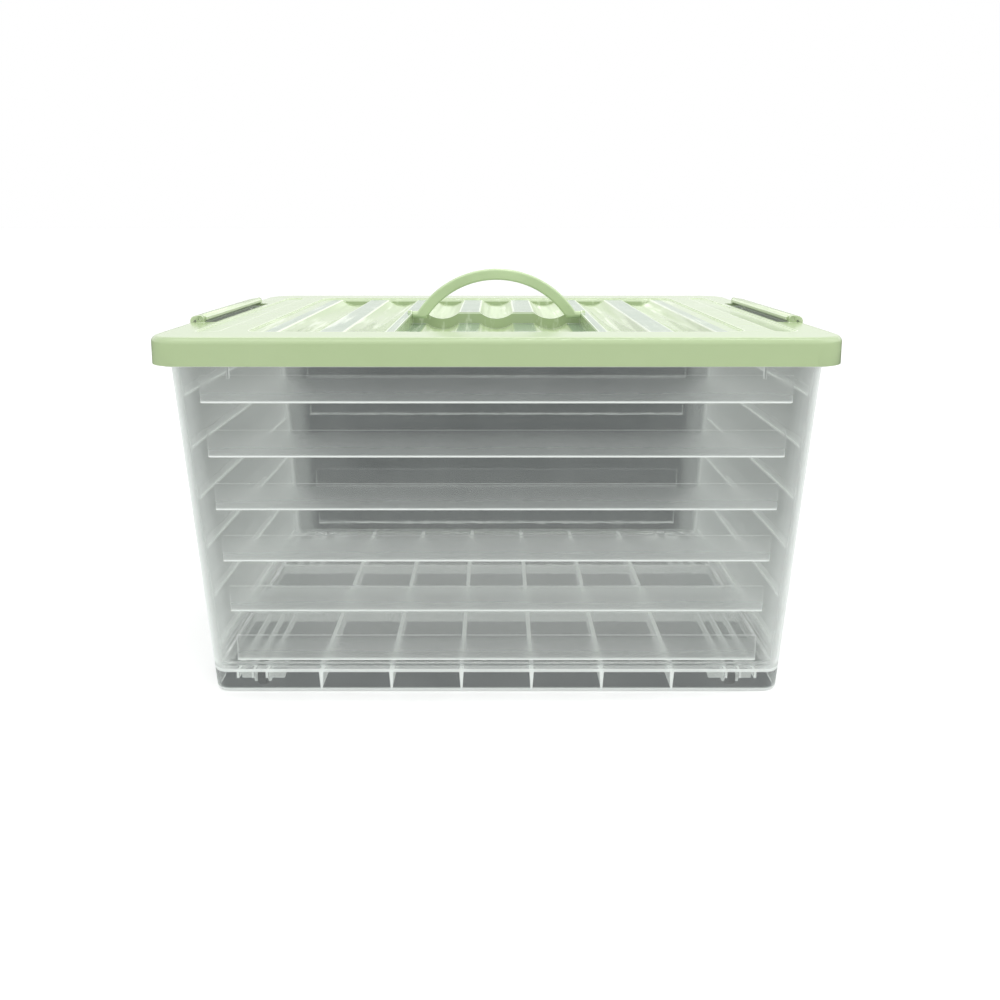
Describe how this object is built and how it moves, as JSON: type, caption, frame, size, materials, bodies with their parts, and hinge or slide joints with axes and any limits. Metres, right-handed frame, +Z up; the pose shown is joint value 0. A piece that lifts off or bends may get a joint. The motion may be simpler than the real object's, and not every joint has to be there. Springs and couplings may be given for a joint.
{
  "type": "clip-lid storage box",
  "caption": "Clear storage box with stepped frosted walls, a fluted green clip-on lid, a folding carry handle, end latches and small wheels.",
  "frame": {"origin": "centre of the bounding box at the level the wheels stand on", "axes": "+X along the width to the right, -Y towards the front, +Z up"},
  "size_m": [0.452, 0.312, 0.2913],
  "materials": {
    "clear_tub": "clear and frosted polypropylene",
    "green_lid": "glossy, slightly translucent light green polypropylene",
    "green_handle": "satin light green polypropylene",
    "green_latch": "glossy light green polypropylene",
    "dark_wheel": "dark moulded plastic",
    "axle_steel": "plain steel pin"
  },
  "bodies": {
    "base": {"tub": "clear_tub", "axle_left_front": "axle_steel", "axle_left_rear": "axle_steel", "axle_right_front": "axle_steel", "axle_right_rear": "axle_steel"},
    "lid": {"lid": "green_lid"},
    "handle": {"handle": "green_handle"},
    "latch_left": {"latch_left": "green_latch"},
    "latch_right": {"latch_right": "green_latch"},
    "wheel_left_front": {"wheel_left_front": "dark_wheel"},
    "wheel_left_rear": {"wheel_left_rear": "dark_wheel"},
    "wheel_right_front": {"wheel_right_front": "dark_wheel"},
    "wheel_right_rear": {"wheel_right_rear": "dark_wheel"}
  },
  "joints": [
    {"name": "lid_lift", "type": "slide", "parent": "base", "child": "lid", "axis": [0, 0, 1], "range_m": [0, 0.15]},
    {"name": "handle_fold", "type": "hinge", "parent": "lid", "child": "handle", "pos_m": [0, 0, 0.2536], "axis": [1, 0, 0], "range_deg": [0, 90]},
    {"name": "latch_left_hinge", "type": "hinge", "parent": "lid", "child": "latch_left", "pos_m": [-0.217, 0, 0.2586], "axis": [0, 1, 0], "range_deg": [0, 110]},
    {"name": "latch_right_hinge", "type": "hinge", "parent": "lid", "child": "latch_right", "pos_m": [0.217, 0, 0.2586], "axis": [0, -1, 0], "range_deg": [0, 110]},
    {"name": "wheel_left_front_spin", "type": "hinge", "parent": "base", "child": "wheel_left_front", "pos_m": [-0.167, -0.118, 0.0066], "axis": [1, 0, 0], "continuous": true},
    {"name": "wheel_left_rear_spin", "type": "hinge", "parent": "base", "child": "wheel_left_rear", "pos_m": [-0.167, 0.118, 0.0066], "axis": [1, 0, 0], "continuous": true},
    {"name": "wheel_right_front_spin", "type": "hinge", "parent": "base", "child": "wheel_right_front", "pos_m": [0.167, -0.118, 0.0066], "axis": [1, 0, 0], "continuous": true},
    {"name": "wheel_right_rear_spin", "type": "hinge", "parent": "base", "child": "wheel_right_rear", "pos_m": [0.167, 0.118, 0.0066], "axis": [1, 0, 0], "continuous": true}
  ]
}
